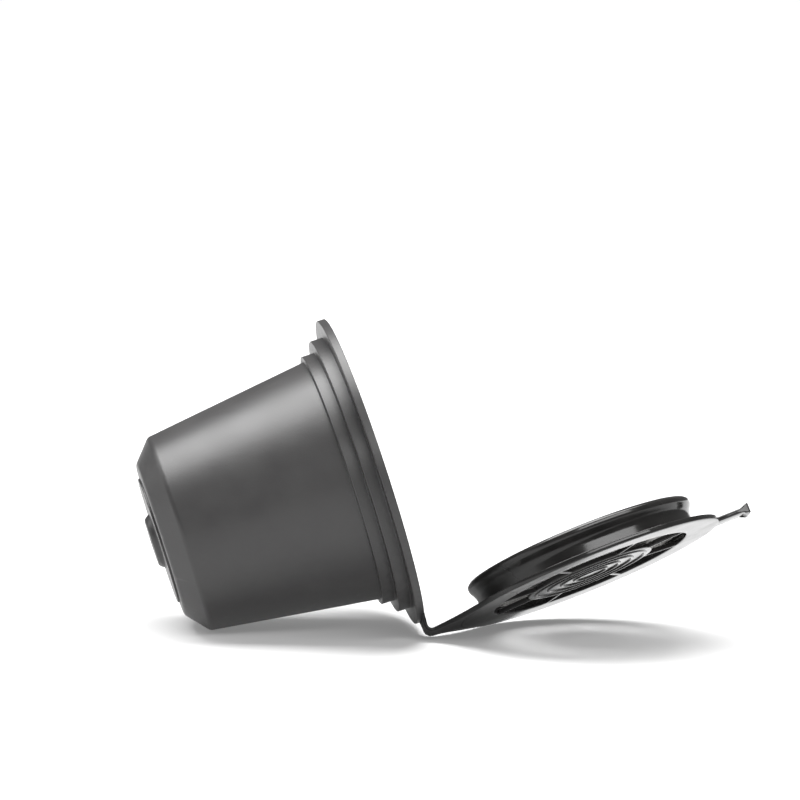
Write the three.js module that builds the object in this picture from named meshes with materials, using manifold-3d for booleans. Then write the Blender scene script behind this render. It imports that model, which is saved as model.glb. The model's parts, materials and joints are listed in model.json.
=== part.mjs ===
// Refillable coffee pod lying open on its side: a stepped cup with a rim flange, and a snap lid on a
// moulded strap hinge. Millimetres, +Z up, resting on z = 0 and centred on x = 0, y = 0.
// The pod is drawn in its own frame first: the cup's axis is Z with the mouth up, the flange's
// front face is z = 0 and the hinge lies towards +X. At the end it is laid down on three points.

import * as THREE from "three";
import { mergeVertices } from "three/addons/utils/BufferGeometryUtils.js";
import Module from "manifold-3d";

const wasm = await Module();
wasm.setup();

// Cup, from the mouth down to the bottom
const flangeRadius = 18.5;
const flangeThickness = 0.95;
const collarRadius = 16.5;
const collarDepth = 1.5;
const shoulderRadius = 15.1;
const shoulderDepth = 1.5;
const wallTopRadius = 14.45;
const wallBottomRadius = 11.75;
const wallLength = 19.8;
const cornerDepth = 2.3;
const bottomRadius = 9.1;
const wallThickness = 0.9;
const floorThickness = 1.3;

// Outlet in the cup's bottom
const padRadius = 7.5;
const padHeight = 0.28;
const nozzleRootRadius = 3.1;
const nozzleTipRadius = 2.75;
const nozzleHeight = 0.75;
const nozzleChamfer = 0.35;
const outletRadius = 0.8;
const wellRadius = 7;
const wellDepth = 0.5;

// Lid
const lidRadius = 16.1;
const lidThickness = 0.6;
const plugRadius = 13.3;
const plugWall = 0.7;
const plugHeight = 3.4;
const beadProud = 0.55;
const beadHeight = 0.75;
const beadLead = 0.3;
const hubRadius = 7.7;
const openingCount = 8;
const openingRim = 0.6;
const spokeWidth = 0.4;
const tabReach = 19.9;
const tabWidth = 3.6;
const tabThickness = 0.54;
const tabLipLength = 0.5;
const tabLipProud = 0.32;

// Strap and hinge
const strapWidth = 4.4;
const strapRootWidth = 8;
const strapThickness = 0.4;
const strapReach = 1.3;
const flareReach = 3;
const flareWidth = 7;
const flareAngle = 38;
const flareSteps = 8;
const openAngle = 87;

// Filters
const filterThickness = 0.3;
const filterSeat = 1;

// Clearances
const seatGap = 0.3;
const strapGap = 0.3;
const closedGap = 0.3;
const mouthClearance = 0.2;
const overlap = 0.3;

const roundSegments = 72;
const solveSteps = 40;

const hingeReach = flangeRadius + strapReach;
const hingeLift = closedGap / 2;
const strapCut = strapGap / 2;
const plugInnerRadius = plugRadius - plugWall;
const openingRadius = plugInnerRadius - openingRim;
const beadRadius = plugRadius + beadProud;
// The far side of the snap bead sweeps an arc about the hinge, and the mouth clears that arc.
const mouthRadius = Math.hypot(hingeReach + beadRadius, plugHeight) - hingeReach + mouthClearance;
const mouthDepth = plugHeight + seatGap;

const collarZ = -flangeThickness - collarDepth;
const shoulderZ = collarZ - shoulderDepth;
const cornerZ = shoulderZ - wallLength;
const bottomZ = cornerZ - cornerDepth;
const padZ = bottomZ - padHeight;
const nozzleZ = padZ - nozzleHeight;
const floorZ = bottomZ + floorThickness;

const cupPlastic = new THREE.MeshStandardMaterial({
  color: 0x4b4945,
  roughness: 0.42,
  metalness: 0,
});
const lidPlastic = new THREE.MeshStandardMaterial({
  color: 0x1d1c1c,
  roughness: 0.16,
  metalness: 0,
});
const filterSteel = new THREE.MeshStandardMaterial({
  color: 0x7d7c79,
  roughness: 0.35,
  metalness: 1,
});

// A closed geometry as a solid that can be joined and cut.
function solid(geometry) {
  geometry.deleteAttribute("normal");
  geometry.deleteAttribute("uv");
  const merged = mergeVertices(geometry);
  return new wasm.Manifold(
    new wasm.Mesh({
      numProp: 3,
      vertProperties: merged.attributes.position.array,
      triVerts: new Uint32Array(merged.index.array),
    }),
  );
}

// The finished solid as a named mesh.
function meshOf(name, body, material) {
  const made = body.getMesh();
  const geometry = new THREE.BufferGeometry();
  geometry.setAttribute("position", new THREE.BufferAttribute(made.vertProperties, 3));
  geometry.setIndex(new THREE.BufferAttribute(made.triVerts, 1));
  geometry.computeVertexNormals();
  const mesh = new THREE.Mesh(geometry, material);
  mesh.name = name;
  return mesh;
}

// A profile of [radius, height] points turned about the Z axis.
function turned(profile) {
  const points = profile.map(([radius, height]) => new THREE.Vector2(radius, height));
  return new THREE.LatheGeometry(points, roundSegments).rotateX(Math.PI / 2);
}

// A flat outline in the XY plane, made into a plate from zLow to zHigh.
function plate(outline, zLow, zHigh) {
  const settings = { depth: zHigh - zLow, bevelEnabled: false };
  return new THREE.ExtrudeGeometry(outline, settings).translate(0, 0, zLow);
}

// Points on an arc about the lid's centre, as fine as the turned pieces.
function arc(radius, from, to) {
  const steps = Math.max(2, Math.ceil((Math.abs(to - from) * roundSegments) / (2 * Math.PI)));
  return Array.from({ length: steps + 1 }, (_, i) => {
    const angle = from + ((to - from) * i) / steps;
    const x = hingeReach + radius * Math.cos(angle);
    return new THREE.Vector2(x, radius * Math.sin(angle));
  });
}

// The cup's outer outline from the outlet's mouth up to the front edge of the flange.
function cupOutside() {
  return [
    [outletRadius, nozzleZ],
    [nozzleTipRadius - nozzleChamfer, nozzleZ],
    [nozzleTipRadius, nozzleZ + nozzleChamfer],
    [nozzleRootRadius, padZ],
    [padRadius, padZ],
    [padRadius, bottomZ],
    [bottomRadius, bottomZ],
    [wallBottomRadius, cornerZ],
    [wallTopRadius, shoulderZ],
    [shoulderRadius, shoulderZ],
    [shoulderRadius, collarZ],
    [collarRadius, collarZ],
    [collarRadius, -flangeThickness],
    [flangeRadius, -flangeThickness],
    [flangeRadius, 0],
  ];
}

// The cup's inner outline from the mouth down to the well under the filter.
function cupInside() {
  const stepDepth = mouthRadius - (wallTopRadius - wallThickness);
  return [
    [mouthRadius, 0],
    [mouthRadius, -mouthDepth],
    [wallTopRadius - wallThickness, -mouthDepth - stepDepth],
    [wallBottomRadius - wallThickness, cornerZ],
    [bottomRadius - wallThickness / 2, floorZ],
    [wellRadius, floorZ],
    [wellRadius, floorZ - wellDepth],
    [outletRadius, floorZ - wellDepth],
  ];
}

// The cup's half of the strap, level with the flange's front face.
function cupStrap() {
  const rootX = flangeRadius - overlap - strapRootWidth ** 2 / (8 * flangeRadius);
  const endX = hingeReach - strapCut;
  const outline = new THREE.Shape();
  outline.moveTo(rootX, -strapRootWidth / 2);
  outline.lineTo(endX, -strapWidth / 2);
  outline.lineTo(endX, strapWidth / 2);
  outline.lineTo(rootX, strapRootWidth / 2);
  outline.closePath();
  return plate(outline, -strapThickness, 0);
}

function cup() {
  const profile = [...cupOutside(), ...cupInside()];
  const shell = solid(turned([...profile, profile[0]]));
  return meshOf("cup", shell.add(solid(cupStrap())), cupPlastic);
}

// A round filter disc that lies on the XY plane.
function filterDisc(name, radius) {
  const profile = [
    [0, 0],
    [radius, 0],
    [radius, filterThickness],
    [0, filterThickness],
  ];
  return meshOf(name, solid(turned(profile)), filterSteel);
}

// One opening of the lid's outer face, between two spokes of even width.
function openingOutline(middle) {
  const halfStep = Math.PI / openingCount;
  const outer = halfStep - Math.asin(spokeWidth / 2 / openingRadius);
  const inner = halfStep - Math.asin(spokeWidth / 2 / hubRadius);
  return new THREE.Path([
    ...arc(openingRadius, middle - outer, middle + outer),
    ...arc(hubRadius, middle + inner, middle - inner),
  ]);
}

// The lid's round plate with its openings.
function lidDisc() {
  const outline = new THREE.Shape(arc(lidRadius, 0, 2 * Math.PI).slice(1));
  for (let i = 0; i < openingCount; i += 1) {
    outline.holes.push(openingOutline((2 * Math.PI * i) / openingCount));
  }
  return plate(outline, -hingeLift - lidThickness, -hingeLift);
}

// The lid's half of the strap, level with the lid's inner face. From the fold it widens in two
// hollow curves that meet the disc's edge.
function lidStrap() {
  const meeting = Math.PI - THREE.MathUtils.degToRad(flareAngle);
  const edge = new THREE.QuadraticBezierCurve(
    new THREE.Vector2(strapCut, strapWidth / 2),
    new THREE.Vector2(flareReach, flareWidth / 2),
    new THREE.Vector2(
      hingeReach + lidRadius * Math.cos(meeting),
      lidRadius * Math.sin(meeting),
    ),
  ).getPoints(flareSteps);
  const mirrored = edge.map((point) => new THREE.Vector2(point.x, -point.y)).reverse();
  const root = new THREE.Vector2(hingeReach - openingRadius - overlap, 0);
  const outline = new THREE.Shape([...edge, root, ...mirrored]);
  return plate(outline, -hingeLift - strapThickness, -hingeLift);
}

// The plug ring with its snap bead, drawn about the lid's centre.
function plugRing() {
  const root = -hingeLift - lidThickness / 2;
  const top = plugHeight - hingeLift;
  const profile = [
    [plugInnerRadius, root],
    [plugRadius, root],
    [plugRadius, top - beadHeight - beadProud],
    [beadRadius, top - beadHeight],
    [beadRadius, top - beadLead],
    [beadRadius - beadLead, top],
    [plugInnerRadius, top],
  ];
  return turned([...profile, profile[0]]).translate(hingeReach, 0, 0);
}

// The finger tab: a thin bar that ends in a lip standing proud of both faces.
function fingerTab() {
  const middle = -hingeLift - lidThickness / 2;
  const low = middle - tabThickness / 2;
  const high = middle + tabThickness / 2;
  const start = hingeReach + lidRadius - tabWidth / 2;
  const end = hingeReach + tabReach;
  const side = new THREE.Shape();
  side.moveTo(start, low);
  side.lineTo(end - tabLipLength, low);
  side.lineTo(end - tabLipLength / 2, low - tabLipProud);
  side.lineTo(end, low - tabLipProud);
  side.lineTo(end, high + tabLipProud);
  side.lineTo(end - tabLipLength / 2, high + tabLipProud);
  side.lineTo(end - tabLipLength, high);
  side.lineTo(start, high);
  side.closePath();
  return plate(side, -tabWidth / 2, tabWidth / 2).rotateX(Math.PI / 2);
}

// The lid in its own frame: the hinge line is Y at the origin and the plug points along +Z.
function lid() {
  const pieces = [lidStrap(), plugRing(), fingerTab()];
  const body = pieces.reduce((joined, piece) => joined.add(solid(piece)), solid(lidDisc()));
  return meshOf("lid", body, lidPlastic);
}

// The lowest of the points on some rings, each a centre, two unit directions and a radius.
function lowestReach(rings, down) {
  return Math.max(
    ...rings.map(({ centre, across, along, radius }) => {
      return centre.dot(down) + radius * Math.hypot(across.dot(down), along.dot(down));
    }),
  );
}

// Down as the pod's own frame sees it, when the cup's axis climbs by pitch and the pod leans by roll.
function downwards(pitch, roll) {
  return new THREE.Vector3(
    Math.cos(pitch) * Math.cos(roll),
    Math.sin(roll),
    -Math.sin(pitch) * Math.cos(roll),
  );
}

// The value between low and high where a rising function passes through zero.
function crossing(low, high, rises) {
  for (let i = 0; i < solveSteps; i += 1) {
    const middle = (low + high) / 2;
    if (rises(middle) > 0) high = middle;
    else low = middle;
  }
  return (low + high) / 2;
}

// The pod rests on the cup's lower corner, the strap's bend and the far edge of the open lid.
function restingPose(lidGroup) {
  const acrossX = new THREE.Vector3(1, 0, 0);
  const acrossY = new THREE.Vector3(0, 1, 0);
  const lidTurn = lidGroup.quaternion;
  const lidX = acrossX.clone().applyQuaternion(lidTurn);
  const inPod = (x, y, z) => {
    return new THREE.Vector3(x, y, z).applyQuaternion(lidTurn).add(lidGroup.position);
  };
  const cupRings = cupOutside().map(([radius, height]) => {
    return { centre: new THREE.Vector3(0, 0, height), across: acrossX, along: acrossY, radius };
  });
  const lidFaces = [-hingeLift, -hingeLift - lidThickness];
  const lidRings = lidFaces.map((z) => {
    return { centre: inPod(hingeReach, 0, z), across: lidX, along: acrossY, radius: lidRadius };
  });
  const lidCorners = [-hingeLift, -hingeLift - strapThickness].flatMap((z) => {
    return [-1, 1].map((side) => inPod(strapCut, (side * strapWidth) / 2, z));
  });
  const cupCorners = [0, -strapThickness].flatMap((z) => {
    return [-1, 1].map((side) => {
      return new THREE.Vector3(hingeReach - strapCut, (side * strapWidth) / 2, z);
    });
  });
  const bendPoints = [...lidCorners, ...cupCorners];
  const bendReach = (down) => Math.max(...bendPoints.map((point) => point.dot(down)));
  const pitchAt = (roll) => {
    return crossing(0, Math.PI / 3, (pitch) => {
      const down = downwards(pitch, roll);
      return lowestReach(cupRings, down) - bendReach(down);
    });
  };
  const roll = crossing(0, Math.PI / 4, (lean) => {
    const down = downwards(pitchAt(lean), lean);
    return lowestReach(lidRings, down) - bendReach(down);
  });
  return { pitch: pitchAt(roll), roll };
}

const pod = new THREE.Group();
pod.add(cup());

const cupFilter = filterDisc("cup_filter", wellRadius + filterSeat);
cupFilter.position.z = floorZ + seatGap;
pod.add(cupFilter);

const lidGroup = new THREE.Group();
lidGroup.add(lid());
const lidFilter = filterDisc("lid_filter", plugInnerRadius - seatGap);
lidFilter.position.set(hingeReach, 0, seatGap - hingeLift);
lidGroup.add(lidFilter);
lidGroup.position.set(hingeReach, 0, hingeLift);
lidGroup.rotation.y = THREE.MathUtils.degToRad(openAngle - 180);
pod.add(lidGroup);

const pose = restingPose(lidGroup);
const up = downwards(pose.pitch, pose.roll).negate();
const lengthwise = new THREE.Vector3(Math.sin(pose.pitch), 0, Math.cos(pose.pitch));
const sideways = new THREE.Vector3().crossVectors(up, lengthwise);
const turn = new THREE.Matrix4().makeBasis(lengthwise, sideways, up).transpose();
pod.quaternion.setFromRotationMatrix(turn);

const part = new THREE.Group();
part.add(pod);
const box = new THREE.Box3().setFromObject(part, true);
const middle = box.getCenter(new THREE.Vector3());
pod.position.set(-middle.x, -middle.y, -box.min.z);

export default part;
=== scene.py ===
# Looks of a refillable coffee pod that lies open: a satin cup, a glossy snap lid on a moulded
# strap, and a woven steel filter in each. Sizes are in millimetres until a piece is made, and
# then in metres.
import json
import math

import bmesh
import bpy
import numpy as np
from mathutils import Matrix


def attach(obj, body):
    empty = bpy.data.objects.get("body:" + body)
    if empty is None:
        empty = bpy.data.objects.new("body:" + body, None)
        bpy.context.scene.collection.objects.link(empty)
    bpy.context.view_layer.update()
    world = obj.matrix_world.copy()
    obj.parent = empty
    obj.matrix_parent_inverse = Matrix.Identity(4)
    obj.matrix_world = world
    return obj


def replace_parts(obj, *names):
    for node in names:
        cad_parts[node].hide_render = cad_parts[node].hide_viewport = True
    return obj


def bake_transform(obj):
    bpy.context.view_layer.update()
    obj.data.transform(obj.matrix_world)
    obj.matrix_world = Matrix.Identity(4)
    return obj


mm = 0.001
longestCut = 0.42    # the most that a rounded corner takes off the shorter of its two sides
holdShare = 0.12     # how far beyond a rounded corner its holding points lie, as a share of its cut

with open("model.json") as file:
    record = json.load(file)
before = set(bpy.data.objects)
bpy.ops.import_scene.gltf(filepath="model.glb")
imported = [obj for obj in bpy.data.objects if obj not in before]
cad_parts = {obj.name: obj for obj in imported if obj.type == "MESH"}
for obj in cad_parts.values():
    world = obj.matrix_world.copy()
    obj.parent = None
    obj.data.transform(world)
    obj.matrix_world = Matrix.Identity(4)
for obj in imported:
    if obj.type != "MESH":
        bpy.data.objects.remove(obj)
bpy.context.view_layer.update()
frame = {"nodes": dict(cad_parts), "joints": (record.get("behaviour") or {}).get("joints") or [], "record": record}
print("frame loaded:", ", ".join(sorted(frame["nodes"])))

hingeSizes = {
    "reach": 19.8,          # from the cup's axis to the hinge line
    "lift": 0.15,           # from the flange's front face to the hinge line
}


def unit(vector):
    # the vector divided by its own length
    vector = np.array(vector, float)
    return vector / np.linalg.norm(vector)


def axesFrom(sideways, upwards):
    # three columns X, Y and Z, where Y is sideways, Z is upwards and X is Y cross Z
    return np.column_stack([np.cross(sideways, upwards), sideways, upwards])


faces = {mount["name"]: np.array(mount["axis"]) for mount in frame["record"]["mounts"]}
hinge = frame["joints"][0]
hingePoint = np.array(hinge["pos_m"]) / mm
hingeLine = unit(hinge["axis"])
cupAxes = axesFrom(hingeLine, unit(faces["flange_front_face"]))
cupOrigin = hingePoint - cupAxes @ np.array([hingeSizes["reach"], 0, hingeSizes["lift"]])
lidAxes = axesFrom(hingeLine, unit(-faces["lid_hub_face"]))
lidOrigin = hingePoint


def onCup(points):
    # cup frame to row frame: origin plus the point along the three axes
    return cupOrigin + np.asarray(points, float) @ cupAxes.T


def onLid(points):
    # lid frame to row frame, with the hinge line at the lid frame's origin
    return lidOrigin + np.asarray(points, float) @ lidAxes.T


def roundedOutline(corners, rounding, steps=6):
    # Each corner P becomes a curve (1-t)^2 A + 2t(1-t) P + t^2 B, with A and B a little way along
    # its two sides, and one more point beyond each that keeps the flat sides flat.
    corners = np.array(corners, float)
    rounding = np.broadcast_to(np.array(rounding, float), (len(corners),))
    before = np.roll(corners, 1, axis=0) - corners
    after = np.roll(corners, -1, axis=0) - corners
    lengthBefore = np.linalg.norm(before, axis=1)
    lengthAfter = np.linalg.norm(after, axis=1)
    cut = np.minimum(rounding, longestCut * np.minimum(lengthBefore, lengthAfter))[:, None]
    a = corners + before / lengthBefore[:, None] * cut
    b = corners + after / lengthAfter[:, None] * cut
    t = np.linspace(0, 1, steps)[None, :, None]
    curve = (1 - t) ** 2 * a[:, None] + 2 * t * (1 - t) * corners[:, None] + t ** 2 * b[:, None]
    holdA = (a + (a - corners) * holdShare)[:, None]
    holdB = (b + (b - corners) * holdShare)[:, None]
    return np.concatenate([holdA, curve, holdB], axis=1).reshape(-1, corners.shape[1])


def turned(outline, around, centre=(0, 0)):
    # point (i, j) = centre + radius i in direction j, at height i
    angle = np.linspace(0, 2 * math.pi, around, endpoint=False)
    radius, height = outline[:, :1], outline[:, 1:2]
    x = centre[0] + radius * np.cos(angle)
    y = centre[1] + radius * np.sin(angle)
    z = np.broadcast_to(height, x.shape)
    return np.stack([x, y, z], axis=-1)


def gridFaces(rows, columns, closedRows=False, closedColumns=False):
    # quads between neighbours (i, j), (i, j+1), (i+1, j+1), (i+1, j), going round where closed
    i = np.arange(rows if closedRows else rows - 1)[:, None]
    j = np.arange(columns if closedColumns else columns - 1)[None, :]
    nextI, nextJ = (i + 1) % rows, (j + 1) % columns
    quads = [i * columns + j, i * columns + nextJ, nextI * columns + nextJ, nextI * columns + j]
    return np.stack(np.broadcast_arrays(*quads), axis=-1).reshape(-1, 4)


def makePiece(name, points, quads, material, place, weld=False):
    # The points go through place() into the row frame and from millimetres to metres. The faces
    # are turned round where the sum of their signed volumes is negative.
    points = place(np.asarray(points, float).reshape(-1, 3)) * mm
    quads = np.asarray(quads, int)
    middle = points.mean(0)
    a, b, c, d = (points[quads[:, k]] - middle for k in range(4))
    volume = np.einsum("ij,ij->i", a, np.cross(b, c)) + np.einsum("ij,ij->i", a, np.cross(c, d))
    if volume.sum() < 0:
        quads = quads[:, ::-1]
    mesh = bpy.data.meshes.new(name)
    mesh.vertices.add(len(points))
    mesh.vertices.foreach_set("co", points.ravel())
    mesh.loops.add(quads.size)
    mesh.loops.foreach_set("vertex_index", quads.ravel())
    mesh.polygons.add(len(quads))
    mesh.polygons.foreach_set("loop_start", np.arange(0, quads.size, 4))
    mesh.update(calc_edges=True)
    mesh.polygons.foreach_set("use_smooth", np.ones(len(mesh.polygons), bool))
    if weld:
        work = bmesh.new()
        work.from_mesh(mesh)
        bmesh.ops.remove_doubles(work, verts=work.verts, dist=1e-7)
        work.to_mesh(mesh)
        work.free()
    mesh.materials.append(material)
    piece = bpy.data.objects.new(name, mesh)
    bpy.context.scene.collection.objects.link(piece)
    return piece


def addBevel(piece, width, segments=3, angle=35):
    # rounds by the width, in millimetres, every edge that turns by more than the angle
    bevel = piece.modifiers.new("softEdges", "BEVEL")
    bevel.width = width * mm
    bevel.segments = segments
    bevel.limit_method = "ANGLE"
    bevel.angle_limit = math.radians(angle)
    return bevel


def newMaterial(name):
    # an empty material with its shader wired to its output
    material = bpy.data.materials.new(name)
    material.use_nodes = True
    tree = material.node_tree
    tree.nodes.clear()
    output = tree.nodes.new("ShaderNodeOutputMaterial")
    shader = tree.nodes.new("ShaderNodeBsdfPrincipled")
    tree.links.new(shader.outputs["BSDF"], output.inputs["Surface"])
    return material, tree, shader


def noiseAt(tree, scale, detail=2, roughness=0.5):
    # noise on the Object coordinates times the scale, which is in waves a metre
    coordinates = tree.nodes.new("ShaderNodeTexCoord")
    noise = tree.nodes.new("ShaderNodeTexNoise")
    noise.inputs["Scale"].default_value = scale
    noise.inputs["Detail"].default_value = detail
    noise.inputs["Roughness"].default_value = roughness
    tree.links.new(coordinates.outputs["Object"], noise.inputs["Vector"])
    return noise.outputs["Fac"]


def ramp(tree, value, low, high, outLow=0.0, outHigh=1.0):
    # value between low and high becomes outLow to outHigh
    node = tree.nodes.new("ShaderNodeMapRange")
    node.inputs["From Min"].default_value = low
    node.inputs["From Max"].default_value = high
    node.inputs["To Min"].default_value = outLow
    node.inputs["To Max"].default_value = outHigh
    tree.links.new(value, node.inputs["Value"])
    return node.outputs["Result"]


def mixColours(tree, factor, first, second):
    # first times (1 - factor) plus second times factor, where each is a socket or a colour
    node = tree.nodes.new("ShaderNodeMix")
    node.data_type = "RGBA"
    colourInputs = [socket for socket in node.inputs if socket.type == "RGBA"]
    for socket, value in zip(colourInputs, (first, second)):
        if isinstance(value, bpy.types.NodeSocket):
            tree.links.new(value, socket)
        else:
            socket.default_value = (*value, 1)
    tree.links.new(factor, node.inputs["Factor"])
    return [socket for socket in node.outputs if socket.type == "RGBA"][0]


def calculate(tree, operation, first, second):
    # first plus, or times, second, where each is a socket or a number
    node = tree.nodes.new("ShaderNodeMath")
    node.operation = operation
    for socket, value in zip(node.inputs, (first, second)):
        if isinstance(value, bpy.types.NodeSocket):
            tree.links.new(value, socket)
        else:
            socket.default_value = value
    return node.outputs[0]


def bumpFrom(tree, shader, heights):
    # heights is a list of (height, strength, distance); each bump goes on top of the last
    normal = None
    for height, strength, distance in heights:
        bump = tree.nodes.new("ShaderNodeBump")
        bump.inputs["Strength"].default_value = strength
        bump.inputs["Distance"].default_value = distance * mm
        tree.links.new(height, bump.inputs["Height"])
        if normal is not None:
            tree.links.new(normal, bump.inputs["Normal"])
        normal = bump.outputs["Normal"]
    tree.links.new(normal, shader.inputs["Normal"])


def distanceFrom(tree, point):
    # length of the Object coordinates less the point, in metres
    coordinates = tree.nodes.new("ShaderNodeTexCoord")
    away = tree.nodes.new("ShaderNodeVectorMath")
    away.operation = "DISTANCE"
    away.inputs[1].default_value = tuple(point)
    tree.links.new(coordinates.outputs["Object"], away.inputs[0])
    return away.outputs["Value"]


def edgeMask(tree, low, high):
    # 1 on outer edges, where the surface is most pointed
    geometry = tree.nodes.new("ShaderNodeNewGeometry")
    return ramp(tree, geometry.outputs["Pointiness"], low, high)


cupFinish = {
    "colour": (0.023, 0.022, 0.0225),
    "paleColour": (0.028, 0.0272, 0.027),
    "wornColour": (0.08, 0.078, 0.076),
    "roughness": (0.37, 0.43),
    "grain": 5200,           # waves a metre, as cloud and scuff
    "cloud": 220,
    "scuff": 900,
    "cloudSpread": (0.3, 0.7), "scuffSpread": (0.35, 0.6), "edgeSpread": (0.53, 0.62),
    "wornShare": 0.55,
    "markSpread": (0.62, 0.70), "markRoughness": -0.08,
    "grainBump": (0.35, 0.02), "cloudBump": (0.12, 0.08),    # strength, and depth in millimetres
}

lidFinish = {
    "colour": (0.010, 0.0098, 0.0096),
    "paleColour": (0.017, 0.0165, 0.016),
    "wornColour": (0.05, 0.049, 0.047),
    "roughness": (0.10, 0.20),
    "shine": 0.33,
    # painted shade: near the fold the lid's colour darkens to this
    "foldShadeColour": (0.005, 0.0049, 0.0048),
    "mattRoughness": 0.45,
    "mattAndShadeReach": (0.004, 0.017),    # metres from the fold, where the often bent plastic is matt and its colour is darkened as painted shade
    "grain": 7000,           # waves a metre, as cloud and wave
    "cloud": 260,
    "wave": 420,
    "cloudSpread": (0.3, 0.7), "wornSpread": (0.35, 0.65), "edgeSpread": (0.53, 0.62),
    "wornShare": 0.5,
    "waveBump": (0.25, 0.06), "grainBump": (0.12, 0.008),    # strength, and depth in millimetres
}

steelFinish = {
    "colour": (0.40, 0.395, 0.385),
    "darkColour": (0.20, 0.197, 0.19),
    "roughness": (0.26, 0.42),
    "grain": 9000,           # waves a metre, as cloud
    "cloud": 700,
    "cloudSpread": (0.35, 0.7), "grainSpread": (0.3, 0.7),
    "grainBump": (0.3, 0.01),    # strength, and depth in millimetres
}


def makeCupPlastic(finish):
    # Satin plastic. Its colour goes from plain to pale with the clouds and towards worn where
    # pointed edges times scuffs is high; its roughness follows the clouds, less the marks.
    material, tree, shader = newMaterial("satinCupPlastic")
    cloud = noiseAt(tree, finish["cloud"], detail=3)
    grain = noiseAt(tree, finish["grain"], detail=2, roughness=0.6)
    scuff = noiseAt(tree, finish["scuff"], detail=4, roughness=0.7)
    edges = edgeMask(tree, *finish["edgeSpread"])
    worn = calculate(tree, "MULTIPLY", edges, ramp(tree, scuff, *finish["scuffSpread"]))
    worn = calculate(tree, "MULTIPLY", worn, finish["wornShare"])
    paleShare = ramp(tree, cloud, *finish["cloudSpread"])
    colour = mixColours(tree, paleShare, finish["colour"], finish["paleColour"])
    colour = mixColours(tree, worn, colour, finish["wornColour"])
    tree.links.new(colour, shader.inputs["Base Color"])
    marks = ramp(tree, scuff, *finish["markSpread"], 0.0, finish["markRoughness"])
    rough = ramp(tree, cloud, *finish["cloudSpread"], *finish["roughness"])
    tree.links.new(calculate(tree, "ADD", rough, marks), shader.inputs["Roughness"])
    bumpFrom(tree, shader, [(grain, *finish["grainBump"]), (cloud, *finish["cloudBump"])])
    return material


def makeLidPlastic(finish):
    # Glossy plastic with slow waves left by shrinkage, a fine haze and dulled edges. Its matt and shade
    # share falls from 1 to 0 as the distance from the fold grows; it roughens the plastic and darkens its colour
    # as painted shade.
    material, tree, shader = newMaterial("glossLidPlastic")
    shader.inputs["Specular IOR Level"].default_value = finish["shine"]
    mattAndShade = ramp(tree, distanceFrom(tree, hingePoint * mm), *finish["mattAndShadeReach"], 1.0, 0.0)
    cloud = noiseAt(tree, finish["cloud"], detail=3)
    grain = noiseAt(tree, finish["grain"], detail=2)
    wave = noiseAt(tree, finish["wave"], detail=1)
    edges = edgeMask(tree, *finish["edgeSpread"])
    worn = calculate(tree, "MULTIPLY", edges, ramp(tree, cloud, *finish["wornSpread"]))
    worn = calculate(tree, "MULTIPLY", worn, finish["wornShare"])
    paleShare = ramp(tree, cloud, *finish["cloudSpread"])
    colour = mixColours(tree, paleShare, finish["colour"], finish["paleColour"])
    colour = mixColours(tree, worn, colour, finish["wornColour"])
    # painted shade: the colour darkens towards the fold shade colour near the fold
    colour = mixColours(tree, mattAndShade, colour, finish["foldShadeColour"])
    tree.links.new(colour, shader.inputs["Base Color"])
    rough = ramp(tree, cloud, *finish["cloudSpread"], *finish["roughness"])
    mattRough = calculate(tree, "MULTIPLY", mattAndShade, finish["mattRoughness"])
    tree.links.new(calculate(tree, "ADD", rough, mattRough), shader.inputs["Roughness"])
    bumpFrom(tree, shader, [(wave, *finish["waveBump"]), (grain, *finish["grainBump"])])
    return material


def makeFilterSteel(finish):
    # drawn wire: bright metal that darkens with the clouds and roughens with the fine grain
    material, tree, shader = newMaterial("wovenFilterSteel")
    shader.inputs["Metallic"].default_value = 1
    cloud = noiseAt(tree, finish["cloud"], detail=3)
    grain = noiseAt(tree, finish["grain"], detail=2)
    darkShare = ramp(tree, cloud, *finish["cloudSpread"])
    colour = mixColours(tree, darkShare, finish["colour"], finish["darkColour"])
    tree.links.new(colour, shader.inputs["Base Color"])
    rough = ramp(tree, grain, *finish["grainSpread"], *finish["roughness"])
    tree.links.new(rough, shader.inputs["Roughness"])
    bumpFrom(tree, shader, [(grain, *finish["grainBump"])])
    return material


cupPlastic = makeCupPlastic(cupFinish)
lidPlastic = makeLidPlastic(lidFinish)
filterSteel = makeFilterSteel(steelFinish)
print("finishes made")


cupSizes = {
    "flangeRadius": 18.5, "flangeThickness": 0.95,
    "collarRadius": 16.5, "collarDepth": 1.5,
    "shoulderRadius": 15.1, "shoulderDepth": 1.5,
    "wallTopRadius": 14.45, "wallBottomRadius": 11.75, "wallLength": 19.8,
    "cornerDepth": 2.3, "bottomRadius": 9.1,
    "wallThickness": 0.9, "floorThickness": 1.3,
    "padRadius": 7.5, "padHeight": 0.28,
    "nozzleRootRadius": 3.3, "nozzleTipRadius": 3.0, "nozzleHeight": 0.75, "nozzleChamfer": 0.28,
    "outletRadius": 0.8, "wellRadius": 7.0, "wellDepth": 0.5,
    "mouthRadius": 14.22, "mouthDepth": 3.7,
    "edgeRounding": 0.13,    # at the small edges
    "cornerRounding": 0.35,  # where the wall meets the bottom's slope
    "around": 216,
}


def cupHeights(s):
    # each level is the last one less the depth of the step between them
    collar = -s["flangeThickness"] - s["collarDepth"]
    shoulder = collar - s["shoulderDepth"]
    corner = shoulder - s["wallLength"]
    bottom = corner - s["cornerDepth"]
    pad = bottom - s["padHeight"]
    return {
        "collar": collar, "shoulder": shoulder, "corner": corner, "bottom": bottom,
        "pad": pad, "nozzle": pad - s["nozzleHeight"], "floor": bottom + s["floorThickness"],
    }


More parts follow.
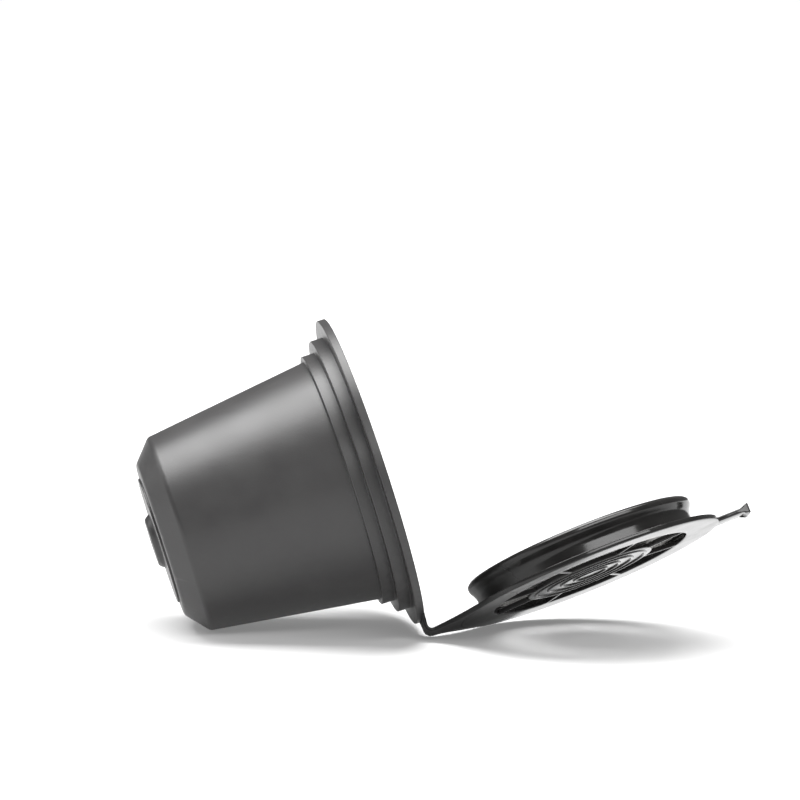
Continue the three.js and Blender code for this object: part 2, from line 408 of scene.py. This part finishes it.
def cupOutline(s):
    # radius, height and rounding of each corner, from the outlet up the outside and down the inside
    h = cupHeights(s)
    small, large = s["edgeRounding"], s["cornerRounding"]
    innerTop = s["wallTopRadius"] - s["wallThickness"]
    corners = np.array([
        (s["outletRadius"], h["nozzle"], small),
        (s["nozzleTipRadius"] - s["nozzleChamfer"], h["nozzle"], small),
        (s["nozzleTipRadius"], h["nozzle"] + s["nozzleChamfer"], small),
        (s["nozzleRootRadius"], h["pad"], small),
        (s["padRadius"], h["pad"], small),
        (s["padRadius"], h["bottom"], small),
        (s["bottomRadius"], h["bottom"], large),
        (s["wallBottomRadius"], h["corner"], large),
        (s["wallTopRadius"], h["shoulder"], small),
        (s["shoulderRadius"], h["shoulder"], small),
        (s["shoulderRadius"], h["collar"], small),
        (s["collarRadius"], h["collar"], small),
        (s["collarRadius"], -s["flangeThickness"], small),
        (s["flangeRadius"], -s["flangeThickness"], small),
        (s["flangeRadius"], 0, small),
        (s["mouthRadius"], 0, small),
        (s["mouthRadius"], -s["mouthDepth"], small),
        (innerTop, -s["mouthDepth"] - (s["mouthRadius"] - innerTop), small),
        (s["wallBottomRadius"] - s["wallThickness"], h["corner"], large),
        (s["bottomRadius"] - s["wallThickness"] / 2, h["floor"], small),
        (s["wellRadius"], h["floor"], small),
        (s["wellRadius"], h["floor"] - s["wellDepth"], small),
        (s["outletRadius"], h["floor"] - s["wellDepth"], small),
    ])
    return roundedOutline(corners[:, :2], corners[:, 2])


outline = cupOutline(cupSizes)
cupBody = makePiece(
    "cup_body", turned(outline, cupSizes["around"]),
    gridFaces(len(outline), cupSizes["around"], True, True), cupPlastic, onCup,
)
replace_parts(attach(cupBody, "cup"), "cup")
print("cup made:", len(cupBody.data.polygons), "faces")


lidSizes = {
    "radius": 16.1, "thickness": 0.6,
    "plugRadius": 13.3, "plugWall": 0.7, "plugHeight": 3.4,
    "beadProud": 0.55, "beadHeight": 0.75, "beadLead": 0.3, "flareLength": 1.0,
    "hubRadius": 7.7, "openingRadius": 12.0, "openings": 8, "spokeWidth": 0.4,
    "edge": 0.11,            # rounding of the plate's edges
    "plugEdge": 0.12,
    "hubRings": (2.0, 3.6, 5.2, 6.8), "hubRingWidth": 0.5, "hubRingProud": 0.16,
    "hubRingTaper": 0.6, "hubRingRoot": 0.1, "hubRingRounding": 0.1,
    "hubRows": 7, "openingRows": 6, "borderRows": 6,     # rows of the plate's grid
    "around": 216,
}
hingeToLid = hingeSizes["reach"]
lidInner = -hingeSizes["lift"]
lidOuter = lidInner - lidSizes["thickness"]


def lidPlate(s, columnsPerOpening=12, columnsPerSpoke=2):
    # A flat disc on a polar grid. In each of the equal sectors the columns run at equal shares of
    # the opening, whose half angle is half a sector less asin(half spoke / radius), and then
    # across the spoke. The quads between hub and rim that lie in an opening are left out.
    sector = 2 * math.pi / s["openings"]
    radii = np.concatenate([
        np.linspace(0, s["hubRadius"], s["hubRows"]),
        np.linspace(s["hubRadius"], s["openingRadius"], s["openingRows"])[1:],
        np.linspace(s["openingRadius"], s["radius"], s["borderRows"])[1:],
    ])
    effective = np.maximum(radii, s["hubRadius"])[:, None]
    halfOpening = sector / 2 - np.arcsin(s["spokeWidth"] / 2 / effective)
    across = np.linspace(-1, 1, columnsPerOpening + 1)[None, :] * halfOpening
    share = np.linspace(0, 1, columnsPerSpoke + 1)[1:-1][None, :]
    spoke = halfOpening + share * (sector - 2 * halfOpening)
    local = np.concatenate([across, spoke], axis=1)
    middle = (np.arange(s["openings"]) * sector)[None, :, None]
    angle = (local[:, None, :] + middle).reshape(len(radii), -1)
    x = hingeToLid + radii[:, None] * np.cos(angle)
    y = radii[:, None] * np.sin(angle)
    points = np.stack([x, y, np.full_like(x, (lidInner + lidOuter) / 2)], axis=-1)
    columns = angle.shape[1]
    quads = gridFaces(len(radii), columns, False, True)
    row, column = np.divmod(np.arange(len(quads)), columns)
    inOpening = column % local.shape[1] < columnsPerOpening
    ringRow = (radii[row] > s["hubRadius"] - 1e-6) & (radii[row] < s["openingRadius"] - 1e-6)
    return points, quads[~(inOpening & ringRow)]


points, quads = lidPlate(lidSizes)
lidBody = makePiece("lid_plate", points, quads, lidPlastic, onLid, weld=True)
wall = lidBody.modifiers.new("plateThickness", "SOLIDIFY")
wall.thickness = lidSizes["thickness"] * mm
wall.offset = 0
addBevel(lidBody, lidSizes["edge"])
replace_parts(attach(lidBody, "lid"), "lid")


def plugOutline(s):
    # the ring's wall, which flares out softly to its snap bead, and the lead-in at the tip
    root = (lidInner + lidOuter) / 2
    top = s["plugHeight"] + lidInner
    bead = s["plugRadius"] + s["beadProud"]
    inner = s["plugRadius"] - s["plugWall"]
    corners = [
        (inner, root), (s["plugRadius"], root),
        (s["plugRadius"], top - s["beadHeight"] - s["flareLength"]),
        (bead, top - s["beadHeight"]), (bead, top - s["beadLead"]),
        (bead - s["beadLead"], top), (inner, top),
    ]
    small, soft = s["plugEdge"], s["flareLength"] / 2
    return roundedOutline(corners, [small, small, soft, small * 2, small, small, small], steps=8)


outline = plugOutline(lidSizes)
plugRing = makePiece(
    "plug_ring", turned(outline, lidSizes["around"], (hingeToLid, 0)),
    gridFaces(len(outline), lidSizes["around"], True, True), lidPlastic, onLid,
)
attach(plugRing, "lid")


def hubRings(s, around=120):
    # low rounded rings on the hub's outer face, with their roots inside the plate; every ring has
    # the same section, carried out to its own radius
    half = s["hubRingWidth"] / 2
    narrow = s["hubRingTaper"] * half
    root, crest = lidOuter + s["hubRingRoot"], lidOuter - s["hubRingProud"]
    section = roundedOutline(
        [(-half, root), (half, root), (narrow, crest), (-narrow, crest)], s["hubRingRounding"],
    )
    radii = np.array(s["hubRings"])
    sections = section[None] + np.stack([radii, 0 * radii], axis=-1)[:, None]
    points = turned(sections.reshape(-1, 2), around, (hingeToLid, 0))
    one = gridFaces(len(section), around, True, True)
    start = np.arange(len(radii))[:, None, None] * len(section) * around
    return points, (one[None] + start).reshape(-1, 4)


points, quads = hubRings(lidSizes)
rings = makePiece("hub_rings", points, quads, lidPlastic, onLid)
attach(rings, "lid")

tabSizes = {
    "reach": 19.9, "width": 3.6, "thickness": 0.54,
    "lipLength": 0.5, "lipProud": 0.32,
    "rounding": 0.1,
}


def tabOutline(s):
    # side view of the tab: a thin bar that ends in a lip standing proud of both faces
    middle = (lidInner + lidOuter) / 2
    low, high = middle - s["thickness"] / 2, middle + s["thickness"] / 2
    start = hingeToLid + lidSizes["radius"] - s["width"] / 2
    end = hingeToLid + s["reach"]
    corners = [
        (start, low), (end - s["lipLength"], low),
        (end - s["lipLength"] / 2, low - s["lipProud"]), (end, low - s["lipProud"]),
        (end, high + s["lipProud"]), (end - s["lipLength"] / 2, high + s["lipProud"]),
        (end - s["lipLength"], high), (start, high),
    ]
    return roundedOutline(corners, s["rounding"], steps=4)


def carriedAcross(outline, width, edge):
    # the side view at stations across the width; it shrinks by edge at both ends, and the last
    # stations close it to its middle
    station = np.array([-0.5, -0.5, -0.5, 0, 0.5, 0.5, 0.5]) * width
    station += np.array([0, 0, edge, 0, -edge, 0, 0])
    shrink = np.array([1.0, edge, 0, 0, 0, edge, 1.0])
    centre = outline.mean(0)
    toCentre = centre - outline
    distance = np.linalg.norm(toCentre, axis=1, keepdims=True)
    shrink = shrink[:, None, None]
    section = outline + np.where(shrink >= 1, toCentre, toCentre / distance * shrink)
    y = np.broadcast_to(station[:, None], section.shape[:2])
    return np.stack([section[..., 0], y, section[..., 1]], axis=-1)


outline = tabOutline(tabSizes)
points = carriedAcross(outline, tabSizes["width"], tabSizes["rounding"])
fingerTab = makePiece(
    "finger_tab", points, gridFaces(len(points), len(outline), False, True),
    lidPlastic, onLid, weld=True,
)
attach(fingerTab, "lid")
print("lid made:", len(lidBody.data.polygons), "faces before its edges")


strapSizes = {
    "width": 4.4, "thickness": 0.4, "lidThickness": 0.59,   # it thickens into the lid's plate
    "thickenRate": 1.4,
    "rootWidth": 8.0, "rootStart": 17.77, "rootEnd": 0.5, "rootEase": 0.8,
    "foldRadius": 0.52,      # inside the fold
    "flareReach": 3.0, "flareWidth": 7.0, "flareAngle": 38,
    "intoLid": 0.6, "sagEase": 1.5,
    "rounding": 0.1,
    "bendReach": 0.8,        # how far from the hinge line the bend begins and ends
    "cupRows": 9, "foldRows": 13, "flareRows": 25,
}


def strapRows(s):
    # Rows across the strap, each with the middle of its centreline, the direction of its normal,
    # its half width and how far its ends run ahead of its middle. Down the cup's face it is a
    # straight run, then a part of a circle that touches both straight runs, then along the lid.
    half = s["thickness"] / 2
    cupMiddle = lambda x: onCup(np.stack([x, 0 * x, 0 * x - half], axis=-1))
    lidMiddle = lambda x, depth: onLid(np.stack([x, 0 * x, lidInner - depth], axis=-1))
    inward = cupAxes[:, 2] + lidAxes[:, 2]
    bisector = unit(inward)
    cosHalf = bisector @ cupAxes[:, 2]
    shift = (s["foldRadius"] - hingeSizes["lift"]) / cosHalf
    centre = hingePoint + bisector * shift
    along = shift * (bisector @ cupAxes[:, 0])
    cupX = np.linspace(s["rootStart"], hingeSizes["reach"] + along, s["cupRows"])
    fold = 2 * math.acos(cosHalf)
    turn = np.linspace(0, fold, s["foldRows"])[1:-1, None]
    outward = -cupAxes[:, 2] * np.sin(fold - turn) - lidAxes[:, 2] * np.sin(turn)
    outward /= math.sin(fold)
    lidStart = shift * (bisector @ lidAxes[:, 0])
    meeting = math.pi - math.radians(s["flareAngle"])
    start = np.array([lidStart, s["width"] / 2])
    pull = np.array([s["flareReach"], s["flareWidth"] / 2])
    end = np.array([
        hingeToLid + lidSizes["radius"] * math.cos(meeting), lidSizes["radius"] * math.sin(meeting),
    ])
    t = np.linspace(0, 1, s["flareRows"])[:, None]
    edge = (1 - t) ** 2 * start + 2 * t * (1 - t) * pull + t ** 2 * end
    inside = np.array([[edge[-1, 0] + s["intoLid"], edge[-1, 1] - s["intoLid"]]])
    edge = np.concatenate([edge, inside])
    sag = lidSizes["radius"] - np.sqrt(lidSizes["radius"] ** 2 - edge[:, 1] ** 2)
    flareShare = np.append(t[:, 0], 1)
    ahead = sag * flareShare ** s["sagEase"]
    thicken = np.minimum(flareShare * s["thickenRate"], 1)
    depth = half + (s["lidThickness"] / 2 - half) * thicken ** 2 * (3 - 2 * thicken)
    rootLength = hingeSizes["reach"] - s["rootEnd"] - s["rootStart"]
    rootShare = np.clip((cupX - s["rootStart"]) / rootLength, 0, 1) ** s["rootEase"]
    cupHalfWidth = s["rootWidth"] / 2 + (s["width"] - s["rootWidth"]) / 2 * rootShare
    middle = np.concatenate([
        cupMiddle(cupX),
        centre + outward * (s["foldRadius"] + half),
        lidMiddle(edge[:, 0] - ahead, depth),
    ])
    normal = np.concatenate([
        np.tile(cupAxes[:, 2], (len(cupX), 1)), -outward, np.tile(lidAxes[:, 2], (len(edge), 1)),
    ])
    halfWidth = np.concatenate([cupHalfWidth, np.full(len(outward), s["width"] / 2), edge[:, 1]])
    onCupSide = len(cupX) + len(outward)
    ahead = np.concatenate([np.zeros(onCupSide), ahead])
    halfThickness = np.concatenate([np.full(onCupSide, half), depth])
    return middle, normal, halfWidth, halfThickness, ahead


def strapSurface(s, across=24, corner=5):
    # Round each row: across the inner face, round one edge, back across the outer face and round
    # the other edge. A point is the row's middle, plus its share of the half width along the
    # hinge line, plus its height along the normal, plus the run of an edge ahead of its middle.
    middle, normal, halfWidth, halfThickness, ahead = strapRows(s)
    r = s["rounding"]
    flat = np.linspace(1, -1, across)
    quarter = np.linspace(0, math.pi, 2 * corner)[1:-1]
    share = np.concatenate([flat, np.full(len(quarter), -1.0), -flat, np.full(len(quarter), 1.0)])
    side = np.concatenate([0 * flat, -np.sin(quarter), 0 * flat, np.sin(quarter)]) * r
    height = np.concatenate([
        np.ones(across), np.cos(quarter), -np.ones(across), -np.cos(quarter),
    ])
    lateral = share[None, :] * (halfWidth[:, None] - r) + side[None, :]
    run = ahead[:, None] * (lateral / halfWidth[:, None]) ** 2
    thick = halfThickness[:, None] * height
    points = middle[:, None] + lateral[..., None] * hingeLine + thick[..., None] * normal[:, None]
    points += run[..., None] * lidAxes[:, 0]
    first = np.broadcast_to(points[0].mean(0), points[:1].shape)
    last = np.broadcast_to(points[-1].mean(0), points[:1].shape)
    return np.concatenate([first, points, last])


points = strapSurface(strapSizes)
strap = makePiece(
    "strap", points, gridFaces(points.shape[0], points.shape[1], False, True),
    lidPlastic, lambda p: p, weld=True,
)
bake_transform(strap)
print("strap made:", len(strap.data.polygons), "faces")


filterSizes = {
    "pitch": 0.32, "wire": 0.075,        # wire is the wire's radius
    "cupRadius": 8.0, "cupHeight": -24.45, "lidRadius": 12.3, "lidHeight": 0.15,
    "thickness": 0.3, "rimWidth": 0.55, "rimRounding": 0.1, "rimAround": 144,
    "edgeGap": 0.2,          # the wires end this far inside the rim's outer edge
    "samplesPerPitch": 2.5,
}


def wovenDisc(radius, height, s):
    # Two sets of wires at right angles. Wire k lies at k pitches and rises and falls as a cosine
    # of its own length, opposite to its neighbours, so that it goes over one wire and under the
    # next. Each wire ends where the disc does, and its section shrinks to a point there.
    count = int((radius - s["edgeGap"]) / s["pitch"])
    k = np.arange(-count, count + 1)
    offset = k * s["pitch"]
    reach = np.sqrt(radius ** 2 - offset ** 2)
    samples = int(2 * radius / s["pitch"] * s["samplesPerPitch"])
    along = np.linspace(-1, 1, samples)[None, :] * reach[:, None]
    swing = s["wire"] * np.cos(math.pi * (along / s["pitch"] + k[:, None]))
    section = np.arange(4) * math.pi / 2 + math.pi / 4
    size = np.ones(samples)
    size[[0, -1]] = 0
    side = s["wire"] * size[:, None] * np.cos(section)
    lift = s["wire"] * size[:, None] * np.sin(section)
    middle = height + s["thickness"] / 2
    a = np.broadcast_to(along[..., None], along.shape + (4,))
    b = offset[:, None, None] + side[None]
    c = middle + swing[..., None] + lift[None]
    d = middle - swing[..., None] + lift[None]
    b = np.broadcast_to(b, a.shape)
    start = (np.arange(len(k)) * samples * 4)[:, None, None]
    quads = (gridFaces(samples, 4, False, True)[None] + start).reshape(-1, 4)
    warp, weft = np.stack([a, b, c], axis=-1), np.stack([b, a, d], axis=-1)
    return {"warp": (warp, quads), "weft": (weft, quads)}


def rimOutline(radius, height, s):
    # the filter's pressed edge: a thin band with rounded corners
    corners = [
        (radius - s["rimWidth"], height), (radius, height),
        (radius, height + s["thickness"]), (radius - s["rimWidth"], height + s["thickness"]),
    ]
    return roundedOutline(corners, s["rimRounding"])


def makeFilter(s, name, body, place, radius, height, centre):
    # the rim's section turned about the centre, and both sets of wires moved out to it
    outline, around = rimOutline(radius, height, s), s["rimAround"]
    rim = makePiece(
        name + "_rim", turned(outline, around, (centre, 0)),
        gridFaces(len(outline), around, True, True), filterSteel, place,
    )
    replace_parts(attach(rim, body), name)
    for way, (points, quads) in wovenDisc(radius - s["edgeGap"], height, s).items():
        points = points + [centre, 0, 0]
        wires = makePiece(name + "_" + way, points, quads, filterSteel, place, weld=True)
        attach(wires, body)
    print(name, "made:", 2 * len(quads), "faces of wire")


cupFilterPlace = filterSizes["cupRadius"], filterSizes["cupHeight"], 0
lidFilterPlace = filterSizes["lidRadius"], filterSizes["lidHeight"], hingeToLid
makeFilter(filterSizes, "cup_filter", "cup", onCup, *cupFilterPlace)
makeFilter(filterSizes, "lid_filter", "lid", onLid, *lidFilterPlace)


floorSettings = {
    "radius": 4.0,                       # metres
    "colour": (0.50, 0.50, 0.50), "roughness": 0.9, "shine": 0.1,
    "glow": (0.20, 0.90), "glowReach": (0.09, 0.45),   # metres from the middle
}
lightSettings = {
    "worldStrength": 0.2,
    "top": {
        "place": (-0.12, 0.08, 0.75), "aim": (0, 0, 0.01), "along": (1, 0, 0),
        "size": (0.9, 0.6), "power": 18.0,
    },
    "left": {
        "place": (-0.75, 0.25, 0.40), "aim": (0, 0, 0.02), "along": (0, 1, 0),
        "size": (0.4, 0.5), "power": 1.5,
    },
    "front": {      # a long low card that shows in the plug ring's wall
        "place": (0.27, -0.58, 0.47), "aim": (0.02, 0, 0.01), "along": (0.98, 0.63, 0.23),
        "size": (0.80, 0.18), "power": 4.0,
    },
}
cameraSettings = {
    "azimuth": 1.36, "elevation": 6.61, "roll": 1.57,
    "distance": 500.0, "aim": (-5.26, 0, 27.1), "pixels": 4312.0,   # pixels is the focal length
    "imageWidth": 800, "sensor": 36.0, "clip": (0.01, 100),
}


def makeFloor(s):
    # a wide flat disc on z = 0: its centre, a small ring and its edge; being flat, it has no
    # volume to tell its upper side by, so its faces are turned up here
    outline = np.array([(0.0, 0.0), (0.3, 0.0), (s["radius"] / mm, 0.0)])
    points = turned(outline, 96)
    quads = gridFaces(len(outline), 96, False, True)
    floor = makePiece("floor", points, quads, makeFloorFinish(s), lambda p: p, weld=True)
    if floor.data.polygons[0].normal.z < 0:
        floor.data.flip_normals()
    return floor


def makeFloorFinish(s):
    # matt and pale, with a glow that rises with the distance from the middle
    material, tree, shader = newMaterial("paleFloor")
    shader.inputs["Base Color"].default_value = (*s["colour"], 1)
    shader.inputs["Roughness"].default_value = s["roughness"]
    shader.inputs["Specular IOR Level"].default_value = s["shine"]
    shader.inputs["Emission Color"].default_value = (1, 1, 1, 1)
    glow = ramp(tree, distanceFrom(tree, (0, 0, 0)), *s["glowReach"], *s["glow"])
    tree.links.new(glow, shader.inputs["Emission Strength"])
    return material


def makeLight(name, s):
    # a card at its place that faces its aim; its long side is along, less the part of along
    # that points at the aim
    data = bpy.data.lights.new(name, "AREA")
    data.shape = "RECTANGLE"
    data.size, data.size_y = s["size"]
    data.energy = s["power"]
    light = bpy.data.objects.new(name, data)
    place, aim = np.array(s["place"]), np.array(s["aim"])
    back = unit(place - aim)
    along = np.array(s["along"], float)
    right = unit(along - (along @ back) * back)
    axes = np.column_stack([right, np.cross(back, right), back])
    matrix = np.eye(4)
    matrix[:3, :3], matrix[:3, 3] = axes, place
    light.matrix_world = Matrix(matrix)
    bpy.context.scene.collection.objects.link(light)
    return light


def makeWorld(strength):
    # an even white surround of the given strength
    world = bpy.data.worlds.new("studio")
    world.use_nodes = True
    background = world.node_tree.nodes["Background"]
    background.inputs["Color"].default_value = (1, 1, 1, 1)
    background.inputs["Strength"].default_value = strength
    bpy.context.scene.world = world


def makeCamera(s):
    # it looks along forward, which turns by the azimuth about Z and dips by the elevation, from
    # the given distance, and then rolls about forward
    azimuth, elevation, roll = (math.radians(s[k]) for k in ("azimuth", "elevation", "roll"))
    forward = np.array([
        math.sin(azimuth) * math.cos(elevation), math.cos(azimuth) * math.cos(elevation),
        -math.sin(elevation),
    ])
    level = np.array([math.cos(azimuth), -math.sin(azimuth), 0])
    above = np.cross(level, forward)
    right = math.cos(roll) * level + math.sin(roll) * above
    up = math.cos(roll) * above - math.sin(roll) * level
    data = bpy.data.cameras.new("camera")
    data.sensor_width = s["sensor"]
    data.lens = s["pixels"] * s["sensor"] / s["imageWidth"]
    data.clip_start, data.clip_end = s["clip"]
    camera = bpy.data.objects.new("camera", data)
    matrix = np.eye(4)
    matrix[:3, :3] = np.column_stack([right, up, -forward])
    matrix[:3, 3] = (np.array(s["aim"]) - forward * s["distance"]) * mm
    camera.matrix_world = Matrix(matrix)
    bpy.context.scene.collection.objects.link(camera)
    bpy.context.scene.camera = camera


makeFloor(floorSettings)
makeWorld(lightSettings["worldStrength"])
for lightName in ("top", "left", "front"):
    makeLight(lightName + "Light", lightSettings[lightName])
makeCamera(cameraSettings)
bpy.context.scene.view_settings.view_transform = "Standard"
print("floor, lights and camera placed")
